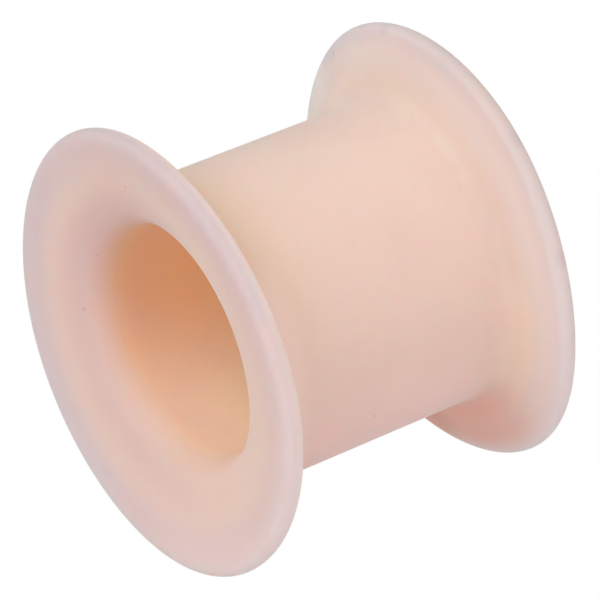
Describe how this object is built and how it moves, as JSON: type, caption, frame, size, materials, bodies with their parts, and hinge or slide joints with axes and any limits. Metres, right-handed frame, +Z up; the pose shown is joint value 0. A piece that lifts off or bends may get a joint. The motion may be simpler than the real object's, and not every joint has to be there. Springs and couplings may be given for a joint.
{
  "type": "ear tunnel",
  "caption": "Soft ear tunnel moulded whole: a short open barrel with a thin dished flare at each end, worn through a stretched ear lobe.",
  "frame": {"origin": "on the bore's axis, at the level of the lower rim, which the tunnel stands on", "axes": "+Z up, along the bore; the two flares are alike, and X and Y are free"},
  "size_m": [0.0144, 0.0144, 0.0111],
  "materials": {
    "silicone": "satin, slightly translucent"
  },
  "bodies": {
    "root": {"tunnel": "silicone"}
  },
  "joints": []
}
